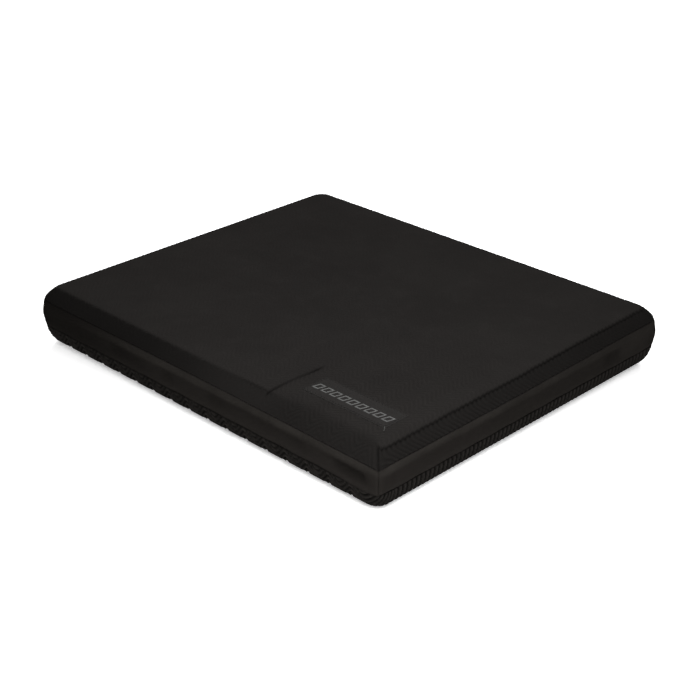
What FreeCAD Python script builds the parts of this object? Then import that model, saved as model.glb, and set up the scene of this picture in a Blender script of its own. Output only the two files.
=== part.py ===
"""Foam balance pad for physiotherapy: ribbed top and bottom skins, a smooth side band between
them, three foam plies inside, and a sewn label near the front right corner.

The origin is at the middle of the underside, +X runs along the long side, -Y is the label's side
and +Z is up.  All sizes are in millimetres.
"""
import FreeCAD, Part
import Sketcher
import math
import os
from FreeCAD import Vector

DRIVING_SIZES = [
    ("pad_length", 472.0),
    ("pad_width", 400.0),
    ("pad_height", 60.0),
    ("corner_round", 24.0),        # corner radius seen from above
    ("skin", 4.0),                 # thickness of the top and bottom skins
    ("bottom_round", 22.0),        # rounding under the lower edge
    ("shoulder_round", 14.0),      # rounding of the upper edge
    ("shoulder_foot", 45.0),       # height where the blanks of the two upper pieces start
    ("band_bottom", 25.0),         # height where the bottom skin ends and the side band starts
    ("band_top", 50.0),            # height where the side band ends and the top skin starts
    ("band_depth", 10.0),          # width of the band's section
    ("lip_round", 1.5),            # rounding of the band's upper lip
    ("hollow_low", 29.0),          # lower end of the band's hollow
    ("hollow_high", 43.0),         # upper end of the band's hollow
    ("hollow_depth", 3.5),
    ("label_length", 98.0),
    ("label_width", 30.0),
    ("label_round", 2.0),
    ("label_thick", 1.0),
    ("label_sink", 0.5),           # how deep the label lies in the top skin
    ("label_x", 155.5),            # centre of the label
    ("label_y", -145.0),
    ("mark_rows", 9),              # slanted frames printed in a row
    ("mark_pitch", 10.2),
    ("mark_length", 7.4),
    ("mark_width", 8.8),
    ("mark_slant", 2.5),
    ("mark_stroke", 1.5),          # width of a frame's line
    ("mark_shift", 2.0),           # from the label's middle to the row's, towards the front
    ("mark_thick", 0.15),
    ("stitch_length", 2.6),
    ("stitch_width", 0.5),
    ("stitch_height", 0.3),
    ("stitch_margin", 1.8),        # from the label's edge to the line of stitches
    ("stitches_long", 25),
    ("stitches_short", 7),
]

LEAST_CUT = 1.0                    # a cut that takes away less than this volume has missed
QUARTER = math.pi / 2

doc = FreeCAD.newDocument("balance_pad")
sizes = doc.addObject("Spreadsheet::Sheet", "sizes")
for row, (word, value) in enumerate(DRIVING_SIZES, start=1):
    sizes.set(f"A{row}", word)
    sizes.set(f"B{row}", str(value))
    sizes.setAlias(f"B{row}", word)
doc.recompute()


def size(word):
    """One driving size, as a number."""
    return float(getattr(sizes, word))


def new_body(label):
    """An empty body, named for the piece that it will be."""
    body = doc.addObject("PartDesign::Body", label)
    body.Label = label
    return body


def origin_plane(body, role):
    """One of the body's own origin planes."""
    return next(p for p in body.Origin.OriginFeatures if p.Role == role)


def new_sketch(body, name, role="XY_Plane", height=None):
    """An empty sketch on an origin plane of the body, raised to a height in the sheet's terms."""
    sketch = body.newObject("Sketcher::SketchObject", name)
    sketch.AttachmentSupport = [(origin_plane(body, role), "")]
    sketch.MapMode = "FlatFace"
    if height:
        sketch.setExpression("AttachmentOffset.Base.z", height)
    return sketch


def bind(sketch, index, name, expression):
    """Name one constraint and drive it from the sheet."""
    sketch.renameConstraint(index, name)
    sketch.setExpression(f"Constraints.{name}", expression)


def add_rounded_rectangle(sketch, prefix, length, width, radius):
    """A centred rectangle with rounded corners; its three sizes are expressions on the sheet."""
    half_x, half_y, r = 50.0, 40.0, 5.0
    first = sketch.GeometryCount
    ends = [
        (Vector(-half_x + r, -half_y, 0), Vector(half_x - r, -half_y, 0)),
        (Vector(half_x, -half_y + r, 0), Vector(half_x, half_y - r, 0)),
        (Vector(half_x - r, half_y, 0), Vector(-half_x + r, half_y, 0)),
        (Vector(-half_x, half_y - r, 0), Vector(-half_x, -half_y + r, 0)),
    ]
    for start, end in ends:
        sketch.addGeometry(Part.LineSegment(start, end), False)
    centres = [(1, -1, 3), (1, 1, 0), (-1, 1, 1), (-1, -1, 2)]
    for side_x, side_y, turn in centres:
        centre = Vector(side_x * (half_x - r), side_y * (half_y - r), 0)
        circle = Part.Circle(centre, Vector(0, 0, 1), r)
        sketch.addGeometry(Part.ArcOfCircle(circle, turn * QUARTER, (turn + 1) * QUARTER), False)
    for i in range(4):
        line, following, arc = first + i, first + (i + 1) % 4, first + 4 + i
        sketch.addConstraint(Sketcher.Constraint("Tangent", line, 2, arc, 1))
        sketch.addConstraint(Sketcher.Constraint("Tangent", arc, 2, following, 1))
    sketch.addConstraint(Sketcher.Constraint("Horizontal", first))
    sketch.addConstraint(Sketcher.Constraint("Vertical", first + 1))
    sketch.addConstraint(Sketcher.Constraint("Horizontal", first + 2))
    sketch.addConstraint(Sketcher.Constraint("Vertical", first + 3))
    for arc in range(first + 5, first + 8):
        sketch.addConstraint(Sketcher.Constraint("Equal", first + 4, arc))
    sketch.addConstraint(Sketcher.Constraint("Symmetric", first + 5, 3, first + 7, 3, -1, 1))
    across = Sketcher.Constraint("DistanceX", first + 3, 1, first + 1, 1, 2 * half_x)
    along = Sketcher.Constraint("DistanceY", first, 1, first + 2, 1, 2 * half_y)
    rounding = Sketcher.Constraint("Radius", first + 4, r)
    bind(sketch, sketch.addConstraint(across), prefix + "_length", length)
    bind(sketch, sketch.addConstraint(along), prefix + "_width", width)
    bind(sketch, sketch.addConstraint(rounding), prefix + "_radius", radius)


def outline(body, name, inset, height=None):
    """The pad's outline seen from above, drawn in by an inset, at a height."""
    sketch = new_sketch(body, name, height=height)
    add_rounded_rectangle(
        sketch,
        "outline",
        f"sizes.pad_length - 2 * ({inset})",
        f"sizes.pad_width - 2 * ({inset})",
        f"sizes.corner_round - ({inset})",
    )
    return sketch


def pad(body, name, sketch, length, downwards=False):
    """Raise a sketch into a solid."""
    feature = body.newObject("PartDesign::Pad", name)
    feature.Profile = sketch
    feature.setExpression("Length", length)
    feature.Reversed = downwards
    doc.recompute()
    return feature


def pocket(body, name, sketch, length, upwards=False):
    """Cut a sketch out of the body, downwards from its plane unless told otherwise."""
    before = body.Shape.Volume
    feature = body.newObject("PartDesign::Pocket", name)
    feature.Profile = sketch
    feature.setExpression("Length", length)
    feature.Reversed = upwards
    doc.recompute()
    if not body.Shape.Volume < before - LEAST_CUT:
        raise RuntimeError(f"{name} cuts nothing")
    return feature


def rim_edges(feature, height, inset):
    """The names of the edges of the outline at a height whose straight runs stand at an inset."""
    half_x = size("pad_length") / 2 - inset
    half_y = size("pad_width") / 2 - inset
    near = 0.05
    names = []
    for number, edge in enumerate(feature.Shape.Edges, start=1):
        box = edge.BoundBox
        level = abs(box.ZMin - height) < near and abs(box.ZMax - height) < near
        on_side = abs(max(abs(box.XMin), abs(box.XMax)) - half_x) < near
        on_end = abs(max(abs(box.YMin), abs(box.YMax)) - half_y) < near
        if level and (on_side or on_end):
            names.append(f"Edge{number}")
    if len(names) != 8:
        raise RuntimeError(f"{feature.Name} has {len(names)} edges at height {height}, not 8")
    return names


def fillet(body, name, base, height, inset, radius):
    """Round the outline's edges at a height; the radius is an expression on the sheet."""
    feature = body.newObject("PartDesign::Fillet", name)
    feature.Base = (base, rim_edges(base, height, inset))
    feature.setExpression("Radius", radius)
    doc.recompute()
    return feature


def make_lower_core():
    """The ply that fills the bottom skin; its lower edge follows the skin's rounding."""
    body = new_body("lower_core")
    base = outline(body, "LowerOutline", "sizes.skin", "sizes.skin")
    block = pad(body, "LowerBlock", base, "sizes.band_bottom - sizes.skin")
    floor = size("skin")
    fillet(body, "LowerRounding", block, floor, floor, "sizes.bottom_round - sizes.skin")
    return body


def shell(label, block, core):
    """What is left of a block once the ply inside it is taken out."""
    cut = doc.addObject("Part::Cut", label)
    cut.Label = label
    cut.Base = block
    cut.Tool = core
    doc.recompute()
    return cut


def make_bottom_skin(core):
    """A tray: flat floor and a large rounding up the sides, open at the top for the lowest ply."""
    body = new_body("bottom_block")
    block = pad(body, "BottomBlock", outline(body, "BottomOutline", "0"), "sizes.band_bottom")
    fillet(body, "BottomRounding", block, 0, 0, "sizes.bottom_round")
    return shell("bottom_skin", body, core)


def make_middle_core():
    """The ply that the side band runs around."""
    body = new_body("middle_core")
    base = outline(body, "MiddleOutline", "sizes.band_depth", "sizes.band_bottom")
    pad(body, "MiddleBlock", base, "sizes.band_top - sizes.band_bottom")
    return body


def trim_foot(body, name):
    """Cut away the foot of an upper piece's blank, up to the top of the side band."""
    around = outline(body, name + "Outline", "-1", "sizes.shoulder_foot")
    pocket(body, name, around, "sizes.band_top - sizes.shoulder_foot", upwards=True)


def make_upper_core():
    """The thin ply under the top skin; its rounded edge follows the inside of the shoulder."""
    body = new_body("upper_core")
    base = outline(body, "UpperOutline", "sizes.skin", "sizes.shoulder_foot")
    ceiling = size("pad_height") - size("skin")
    block = pad(body, "UpperBlock", base, "sizes.pad_height - sizes.skin - sizes.shoulder_foot")
    fillet(body, "UpperRounding", block, ceiling, size("skin"), "sizes.shoulder_round - sizes.skin")
    trim_foot(body, "UpperTrim")
    return body


def make_top_skin(core):
    """A cap: flat top, rounded shoulder, a shallow seat for the label."""
    body = new_body("top_block")
    top = size("pad_height")
    base = outline(body, "TopOutline", "0", "sizes.shoulder_foot")
    block = pad(body, "TopBlock", base, "sizes.pad_height - sizes.shoulder_foot")
    fillet(body, "TopShoulder", block, top, 0, "sizes.shoulder_round")
    trim_foot(body, "TopTrim")
    seat = new_sketch(body, "LabelSeatOutline", height="sizes.pad_height")
    seat.setExpression("AttachmentOffset.Base.x", "sizes.label_x")
    seat.setExpression("AttachmentOffset.Base.y", "sizes.label_y")
    add_rounded_rectangle(seat, "seat", "sizes.label_length", "sizes.label_width", "sizes.label_round")
    pocket(body, "LabelSeat", seat, "sizes.label_sink")
    return shell("top_skin", body, core)


def make_side_band():
    """The strip around the middle ply, with a rounded upper lip and a shallow hollow under it."""
    body = new_body("side_band")
    outside = outline(body, "BandOutline", "0", "sizes.band_bottom")
    block = pad(body, "BandBlock", outside, "sizes.band_top - sizes.band_bottom")
    fillet(body, "BandLip", block, size("band_top"), 0, "sizes.lip_round")
    inside = outline(body, "BandInside", "sizes.band_depth", "sizes.band_top")
    pocket(body, "BandRing", inside, "sizes.band_top - sizes.band_bottom")

    path = outline(body, "HollowPath", "0", "sizes.hollow_low")
    section = new_sketch(body, "HollowSection", "XZ_Plane", "sizes.pad_width / 2 - sizes.corner_round")
    low, high = Vector(100, 20, 0), Vector(100, 30, 0)
    circle = Part.Circle(Vector(105, 25, 0), Vector(0, 0, 1), 7.0)
    section.addGeometry(Part.ArcOfCircle(circle, 1.5 * QUARTER, 2.5 * QUARTER), False)
    section.addGeometry(Part.LineSegment(high, low), False)
    section.addConstraint(Sketcher.Constraint("Coincident", 0, 1, 1, 1))
    section.addConstraint(Sketcher.Constraint("Coincident", 0, 2, 1, 2))
    section.addConstraint(Sketcher.Constraint("Vertical", 1))
    side = section.addConstraint(Sketcher.Constraint("DistanceX", -1, 1, 1, 2, 100.0))
    bind(section, side, "side", "sizes.pad_length / 2")
    foot = section.addConstraint(Sketcher.Constraint("DistanceY", -1, 1, 1, 2, 20.0))
    bind(section, foot, "foot", "sizes.hollow_low")
    chord = section.addConstraint(Sketcher.Constraint("DistanceY", 1, 2, 1, 1, 10.0))
    bind(section, chord, "chord", "sizes.hollow_high - sizes.hollow_low")
    half_chord = "(sizes.hollow_high - sizes.hollow_low) / 2"
    bulge = f"(({half_chord}) ^ 2 + sizes.hollow_depth ^ 2) / (2 * sizes.hollow_depth)"
    centre = section.addConstraint(Sketcher.Constraint("DistanceX", 1, 2, 0, 3, 5.0))
    bind(section, centre, "centre", f"{bulge} - sizes.hollow_depth")
    doc.recompute()
    before = body.Shape.Volume
    hollow = body.newObject("PartDesign::SubtractivePipe", "BandHollow")
    hollow.Profile = section
    hollow.Spine = (path, [f"Edge{i}" for i in (2, 6, 3, 7, 4, 8, 1, 5)])
    doc.recompute()
    if not body.Shape.Volume < before - LEAST_CUT:
        raise RuntimeError("BandHollow cuts nothing")
    return body


def on_label(body):
    """Stand a body at the middle of the label, with its own plane on the label's upper face."""
    body.setExpression("Placement.Base.x", "sizes.label_x")
    body.setExpression("Placement.Base.y", "sizes.label_y")
    body.setExpression("Placement.Base.z", "sizes.pad_height - sizes.label_sink + sizes.label_thick")


def make_label():
    """A thin rectangular patch, half sunk in the top skin."""
    body = new_body("label")
    patch = new_sketch(body, "LabelOutline")
    add_rounded_rectangle(patch, "patch", "sizes.label_length", "sizes.label_width", "sizes.label_round")
    pad(body, "LabelPatch", patch, "sizes.label_thick", downwards=True)
    on_label(body)
    return body


def add_bar(sketch, left, front, length, width, slant="0"):
    """A four-sided bar: two level sides and two ends that lean by the slant."""
    corners = [Vector(0, 0, 0), Vector(8, 0, 0), Vector(11, 10, 0), Vector(3, 10, 0)]
    for i in range(4):
        sketch.addGeometry(Part.LineSegment(corners[i], corners[(i + 1) % 4]), False)
    for i in range(4):
        sketch.addConstraint(Sketcher.Constraint("Coincident", i, 2, (i + 1) % 4, 1))
    sketch.addConstraint(Sketcher.Constraint("Horizontal", 0))
    sketch.addConstraint(Sketcher.Constraint("Horizontal", 2))
    sketch.addConstraint(Sketcher.Constraint("Parallel", 1, 3))
    sizes_of_bar = [
        ("bar_length", Sketcher.Constraint("DistanceX", 0, 1, 0, 2, 8.0), length),
        ("bar_width", Sketcher.Constraint("DistanceY", 0, 1, 3, 1, 10.0), width),
        ("bar_left", Sketcher.Constraint("DistanceX", -1, 1, 0, 1, 1.0), left),
        ("bar_front", Sketcher.Constraint("DistanceY", -1, 1, 0, 1, 1.0), front),
    ]
    if slant == "0":
        sketch.addConstraint(Sketcher.Constraint("Vertical", 1))
    else:
        lean = Sketcher.Constraint("DistanceX", 0, 1, 3, 1, 3.0)
        sizes_of_bar.insert(2, ("bar_slant", lean, slant))
    for name, constraint, expression in sizes_of_bar:
        bind(sketch, sketch.addConstraint(constraint), name, expression)


def add_row(body, name, first, axis, count, reach):
    """Repeat features along an axis of their first sketch; reach is the distance from first to last."""
    pattern = body.newObject("PartDesign::LinearPattern", name)
    pattern.Originals = first
    pattern.Direction = (first[0].Profile[0], [axis])
    pattern.setExpression("Length", reach)
    pattern.setExpression("Occurrences", count)
    body.Tip = pattern
    doc.recompute()
    return pattern


def make_label_print():
    """A row of slanted frames printed along the label."""
    body = new_body("label_print")
    reach = "(sizes.mark_rows - 1) * sizes.mark_pitch"
    left = f"-(({reach}) + sizes.mark_length + sizes.mark_slant) / 2"
    front = "-sizes.mark_width / 2 - sizes.mark_shift"
    sketch = new_sketch(body, "MarkOutline")
    add_bar(sketch, left, front, "sizes.mark_length", "sizes.mark_width", "sizes.mark_slant")
    mark = pad(body, "Mark", sketch, "sizes.mark_thick")

    hole_width = "(sizes.mark_width - 2 * sizes.mark_stroke)"
    hole = new_sketch(body, "MarkHoleOutline", height="sizes.mark_thick")
    add_bar(
        hole,
        f"{left} + sizes.mark_stroke * (1 + sizes.mark_slant / sizes.mark_width)",
        f"{front} + sizes.mark_stroke",
        "sizes.mark_length - 2 * sizes.mark_stroke",
        hole_width,
        f"sizes.mark_slant * {hole_width} / sizes.mark_width",
    )
    cut = pocket(body, "MarkHole", hole, "sizes.mark_thick")
    add_row(body, "Marks", [mark, cut], "H_Axis", "sizes.mark_rows", reach)
    on_label(body)
    return body


def make_label_stitching():
    """Four straight rows of stitches around the label."""
    body = new_body("label_stitching")
    inset_x = "(sizes.label_length / 2 - sizes.stitch_margin)"
    inset_y = "(sizes.label_width / 2 - sizes.stitch_margin)"
    half = "sizes.stitch_width / 2"
    step = "sizes.stitch_length"
    reach_x = f"(2 * {inset_x} - 2 * {step})"
    reach_y = f"(2 * {inset_y} - 2 * {step})"
    for side, place in (("Front", f"-{inset_y} - {half}"), ("Back", f"{inset_y} - {half}")):
        sketch = new_sketch(body, side + "StitchOutline")
        add_bar(sketch, f"-({reach_x} + {step}) / 2", place, step, "sizes.stitch_width")
        stitch = pad(body, side + "Stitch", sketch, "sizes.stitch_height")
        add_row(body, side + "Stitches", [stitch], "H_Axis", "sizes.stitches_long", reach_x)
    for side, place in (("Left", f"-{inset_x} - {half}"), ("Right", f"{inset_x} - {half}")):
        sketch = new_sketch(body, side + "StitchOutline")
        add_bar(sketch, place, f"-({reach_y} + {step}) / 2", "sizes.stitch_width", step)
        stitch = pad(body, side + "Stitch", sketch, "sizes.stitch_height")
        add_row(body, side + "Stitches", [stitch], "V_Axis", "sizes.stitches_short", reach_y)
    on_label(body)
    return body


def check(parts):
    """Stop if any object failed or any piece has no sound solid."""
    for thing in doc.Objects:
        if "Invalid" in thing.State or "Error" in thing.State:
            raise RuntimeError(f"{thing.Name} failed: {thing.State}")
    for piece in parts:
        shape = piece.Shape
        if shape.isNull() or not shape.isValid() or not shape.Solids:
            raise RuntimeError(f"{piece.Label} has no valid solid")


lower_core = make_lower_core()
upper_core = make_upper_core()
parts = [
    make_bottom_skin(lower_core),
    lower_core,
    make_middle_core(),
    upper_core,
    make_side_band(),
    make_top_skin(upper_core),
    make_label(),
    make_label_print(),
    make_label_stitching(),
]
doc.recompute()
check(parts)

os.makedirs("parts", exist_ok=True)
for piece in parts:
    piece.Shape.exportStep(f"parts/{piece.Label}.step")
    box = piece.Shape.optimalBoundingBox()
    print(
        f"{piece.Label}: {len(piece.Shape.Solids)} solid(s), {piece.Shape.Volume / 1000:.1f} cm3, "
        f"x {box.XMin:.1f}..{box.XMax:.1f}, y {box.YMin:.1f}..{box.YMax:.1f}, "
        f"z {box.ZMin:.2f}..{box.ZMax:.2f}"
    )
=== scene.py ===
"""Foam balance pad: ribbed top and bottom skins, a smooth hollowed side band between them, and a
sewn label near the front right corner.

Metres, +Z up, -Y is the label's side.  Seen from above, the near corner is (+X, -Y).
"""

import math

import bmesh
import bpy
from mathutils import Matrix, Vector


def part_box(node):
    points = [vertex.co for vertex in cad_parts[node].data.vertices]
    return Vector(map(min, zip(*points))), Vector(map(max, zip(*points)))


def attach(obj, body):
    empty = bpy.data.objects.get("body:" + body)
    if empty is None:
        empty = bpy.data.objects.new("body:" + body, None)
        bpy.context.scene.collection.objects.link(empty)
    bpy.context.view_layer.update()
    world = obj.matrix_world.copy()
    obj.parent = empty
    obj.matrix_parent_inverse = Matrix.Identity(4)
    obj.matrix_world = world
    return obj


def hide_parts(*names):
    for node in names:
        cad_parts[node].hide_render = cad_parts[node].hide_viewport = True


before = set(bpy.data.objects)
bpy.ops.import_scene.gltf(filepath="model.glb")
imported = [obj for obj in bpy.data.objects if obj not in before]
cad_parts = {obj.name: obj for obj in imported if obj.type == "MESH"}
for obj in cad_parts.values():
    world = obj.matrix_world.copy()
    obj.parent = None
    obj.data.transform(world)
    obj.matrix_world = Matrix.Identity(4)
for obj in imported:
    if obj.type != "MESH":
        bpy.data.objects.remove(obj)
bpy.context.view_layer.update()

# ---------------------------------------------------------------- sizes, from the frame
MM = 0.001
FULL_TURN = 2 * math.pi
TINY = 1e-6                                # keeps a division or a power away from zero
HALF_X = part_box("side_band")[1].x
HALF_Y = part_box("side_band")[1].y
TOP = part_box("top_skin")[1].z
SEAM_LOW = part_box("side_band")[0].z        # where the side band meets the bottom skin
SEAM_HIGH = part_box("side_band")[1].z       # where it meets the top skin
CORNER = 24 * MM                           # corner radius seen from above
SKIN = 4 * MM
LABEL_LOW, LABEL_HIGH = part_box("label")
RIB_PITCH = 5.56 * MM
RIB_DEPTH = 0.3 * MM                       # on the top; the sides' ribs are deeper
WAVE_LENGTH = 26 * MM
WAVE_HEIGHT = 6.2 * MM                     # from the middle of a rib's zigzag to its tip
RIB_ROWS = 5                               # mesh rows across one rib
NEAR_CORNER = Vector((HALF_X, -HALF_Y, 0))
POINT_POWER = 12.0                         # how pointed the near corner of the band is
RIM_INSET = 1.8 * MM                       # the top skin ends a little inside the band
RIM_HEIGHT = SEAM_HIGH + 0.2 * MM          # where the top skin ends and the side band's lip starts
RIM_FALL = 2.3 * MM                        # how much lower that is at the near corner
RIM_FALL_FROM, RIM_FALL_TO = 150 * MM, -60 * MM    # the stretch of the right side where it falls


# ---------------------------------------------------------------- node trees as expressions
class Field:
    """One socket of a node tree. Arithmetic on fields adds the tree's Math nodes."""

    def __init__(self, tree, socket):
        self.tree, self.socket = tree, socket

    def _math(self, operation, *values):
        return self.tree.math(operation, *values)

    def __add__(self, other):
        return self._math("ADD", self, other)

    def __radd__(self, other):
        return self._math("ADD", other, self)

    def __sub__(self, other):
        return self._math("SUBTRACT", self, other)

    def __rsub__(self, other):
        return self._math("SUBTRACT", other, self)

    def __mul__(self, other):
        return self._math("MULTIPLY", self, other)

    def __rmul__(self, other):
        return self._math("MULTIPLY", other, self)

    def __truediv__(self, other):
        return self._math("DIVIDE", self, other)

    def __rtruediv__(self, other):
        return self._math("DIVIDE", other, self)

    def __pow__(self, power):
        return self._math("POWER", self, power)

    def __neg__(self):
        return self._math("MULTIPLY", self, -1.0)

    def __abs__(self):
        return self._math("ABSOLUTE", self)


class Tree:
    """Adds nodes to a shader tree or a Geometry Nodes tree."""

    def __init__(self, tree):
        self.tree = tree

    def add(self, kind, settings=None, values=None):
        """A node of a kind; its settings first, then a value or a link for each named socket."""
        node = self.tree.nodes.new(kind)
        for name, setting in (settings or {}).items():
            setattr(node, name, setting)
        for name, value in (values or {}).items():
            socket = node.inputs[name]
            if isinstance(value, Field):
                self.tree.links.new(value.socket, socket)
            elif value is not None:
                socket.default_value = value
        return node

    def get(self, output, kind, settings=None, values=None):
        """The same, and one of the node's outputs as a field."""
        node = self.add(kind, settings, values)
        return Field(self, node.outputs[output])

    def math(self, operation, *values):
        return self.get(0, "ShaderNodeMath", {"operation": operation}, dict(enumerate(values)))

    def sin(self, value):
        return self.math("SINE", value)

    def cos(self, value):
        return self.math("COSINE", value)

    def least(self, a, b):
        return self.math("MINIMUM", a, b)

    def most(self, a, b):
        return self.math("MAXIMUM", a, b)

    def sign(self, value):
        return self.math("SIGN", value)

    def bell(self, distance, width):
        """1 at no distance, falling to nothing over a few widths."""
        return self.math("EXPONENT", -((distance / width) ** 2.0))

    def ease(self, value, start, end, low=0.0, high=1.0):
        """A smooth step from low at start to high at end."""
        values = {0: value, 1: start, 2: end, 3: low, 4: high}
        return self.get(0, "ShaderNodeMapRange", {"interpolation_type": "SMOOTHSTEP"}, values)

    def mix(self, share, a, b):
        """A number between a and b."""
        return a + (b - a) * share

    def colour(self, share, a, b):
        """A colour between a and b."""
        return self.get(2, "ShaderNodeMix", {"data_type": "RGBA"}, {0: share, 6: a, 7: b})

    def split(self, vector):
        node = self.add("ShaderNodeSeparateXYZ", None, {0: vector})
        return [Field(self, output) for output in node.outputs]

    def join(self, x, y, z):
        return self.get(0, "ShaderNodeCombineXYZ", None, {0: x, 1: y, 2: z})

    def noise(self, place, scale, detail=2.0, roughness=0.5):
        values = {"Vector": place, "Scale": scale, "Detail": detail, "Roughness": roughness}
        return self.get(0, "ShaderNodeTexNoise", None, values)


def new_geometry_tree(name, sizes):
    """An empty Geometry Nodes tree with one named number input for each size."""
    group = bpy.data.node_groups.new(name, "GeometryNodeTree")
    group.interface.new_socket("Geometry", in_out="OUTPUT", socket_type="NodeSocketGeometry")
    for word in sizes:
        group.interface.new_socket(word, in_out="INPUT", socket_type="NodeSocketFloat")
    tree = Tree(group)
    start = tree.add("NodeGroupInput")
    return group, tree, {word: Field(tree, start.outputs[word]) for word in sizes}


def end_geometry_tree(tree, geometry, material):
    """Real geometry, its material, and the tree's output."""
    real = tree.get(0, "GeometryNodeRealizeInstances", None, {0: geometry})
    done = tree.get(0, "GeometryNodeSetMaterial", None, {"Geometry": real, "Material": material})
    tree.add("NodeGroupOutput", None, {0: done})


def grown(name, group, sizes):
    """The plain mesh that a Geometry Nodes tree makes with these sizes."""
    carrier = bpy.data.objects.new(name + "_carrier", bpy.data.meshes.new(name + "_carrier"))
    bpy.context.scene.collection.objects.link(carrier)
    modifier = carrier.modifiers.new("shape", "NODES")
    modifier.node_group = group
    for item in group.interface.items_tree:
        if item.in_out == "INPUT" and item.name in sizes:
            modifier[item.identifier] = float(sizes[item.name])
    evaluated = carrier.evaluated_get(bpy.context.evaluated_depsgraph_get())
    mesh = bpy.data.meshes.new_from_object(evaluated)
    mesh.name = name
    bpy.data.objects.remove(carrier)
    return mesh


def new_piece(name, mesh):
    """A finished mesh as a piece of the pad, shaded smooth."""
    piece = bpy.data.objects.new(name, mesh)
    bpy.context.scene.collection.objects.link(piece)
    mesh.shade_smooth()
    return piece


def piece_from(work, name, material):
    """What a bmesh holds, as a finished piece in one material."""
    mesh = bpy.data.meshes.new(name)
    work.to_mesh(mesh)
    work.free()
    mesh.materials.append(material)
    return new_piece(name, mesh)


# ---------------------------------------------------------------- camera, lights and floor
SENSOR_WIDTH, LENS = 36, 75.6              # millimetres
CAMERA_PLACE = (0.9173, -0.9237, 0.6555)
CAMERA_DIP, CAMERA_HEADING = 0.46506, 0.77803      # radians: below level, and left of +Y
CLIP_START, CLIP_END = 0.05, 50
WHITE = (1, 1, 1, 1)
ROOM_LIGHT = 0.07
FLOOR_HALF = 40.0
FLOOR_DROP = 0.5 * MM                      # the floor lies a hair below the pad
FLOOR_COLOUR, FLOOR_ROUGHNESS, FLOOR_GLOW = (0.93, 0.93, 0.93, 1), 0.8, 0.45
SOFT_LIGHTS = [                            # name, place, what it faces, side, watts
    ("back_softbox", (-2.2, 3.2, 3.4), (0, 0, 0), 3.0, 300),
    ("overhead", (-0.2, 0.2, 2.6), (0, 0, 0), 2.5, 34),
    ("front_corner", (0.52, -0.48, 0.50), (0.2, -0.17, 0.03), 0.3, 7),
]


def make_camera():
    """A camera above the near corner, looking down across the pad."""
    data = bpy.data.cameras.new("camera")
    data.sensor_width = SENSOR_WIDTH
    data.lens = LENS
    data.clip_start, data.clip_end = CLIP_START, CLIP_END
    camera = bpy.data.objects.new("camera", data)
    camera.location = CAMERA_PLACE
    camera.rotation_euler = (math.pi / 2 - CAMERA_DIP, 0, CAMERA_HEADING)
    bpy.context.scene.collection.objects.link(camera)
    bpy.context.scene.camera = camera


def make_area_light(name, place, target, side, watts):
    """A square soft light that faces a target."""
    data = bpy.data.lights.new(name, "AREA")
    data.shape = "SQUARE"
    data.size = side
    data.energy = watts
    light = bpy.data.objects.new(name, data)
    light.location = place
    light.visible_camera = False
    light.rotation_euler = (Vector(target) - Vector(place)).to_track_quat("-Z", "Y").to_euler()
    bpy.context.scene.collection.objects.link(light)


def make_floor():
    """A large pale floor that glows a little, like a light table."""
    half = FLOOR_HALF
    mesh = bpy.data.meshes.new("floor")
    corners = [(-half, -half, 0), (half, -half, 0), (half, half, 0), (-half, half, 0)]
    mesh.from_pydata(corners, [], [(0, 1, 2, 3)])
    floor = bpy.data.objects.new("floor", mesh)
    floor.location.z = -FLOOR_DROP
    bpy.context.scene.collection.objects.link(floor)
    material = bpy.data.materials.new("pale_floor")
    material.use_nodes = True
    shader = material.node_tree.nodes["Principled BSDF"]
    shader.inputs["Base Color"].default_value = FLOOR_COLOUR
    shader.inputs["Roughness"].default_value = FLOOR_ROUGHNESS
    shader.inputs["Emission Color"].default_value = WHITE
    shader.inputs["Emission Strength"].default_value = FLOOR_GLOW
    mesh.materials.append(material)


def make_surroundings():
    """A plain pale floor, a dim even room and three soft lights."""
    scene = bpy.context.scene
    scene.view_settings.view_transform = "Standard"
    world = bpy.data.worlds.new("pale_room")
    world.use_nodes = True
    background = world.node_tree.nodes["Background"]
    background.inputs["Color"].default_value = WHITE
    background.inputs["Strength"].default_value = ROOM_LIGHT
    scene.world = world
    for light in SOFT_LIGHTS:
        make_area_light(*light)
    make_floor()


# ---------------------------------------------------------------- materials
FOAM_GLOSS, INK_GLOSS = 0.0, 0.02          # the foam is matte, and the print nearly so
# painted shade: the near black that the ribbed skins turn to in grooves, creases, folds, on the sloping
# bevel and under the band
PAINTED_SHADE_BLACK = (0.0016, 0.0015, 0.0014, 1)
UNDER_DULL, UNDER_RUBBED = (0.0122, 0.0112, 0.0104, 1), (0.0150, 0.0138, 0.0127, 1)
TOP_DULL, TOP_RUBBED = (0.0114, 0.0105, 0.0100, 1), (0.0146, 0.0135, 0.0128, 1)
# painted light and shade of the side band: lit tones for its lip and foot, shaded tones for the rest
BAND_LIT, BAND_LIT_LIGHTER = (0.0126, 0.0114, 0.0103, 1), (0.0167, 0.0151, 0.0137, 1)
BAND_SHADED, BAND_SHADED_MOST = (0.0098, 0.0088, 0.0080, 1), (0.0062, 0.0056, 0.0051, 1)
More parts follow.
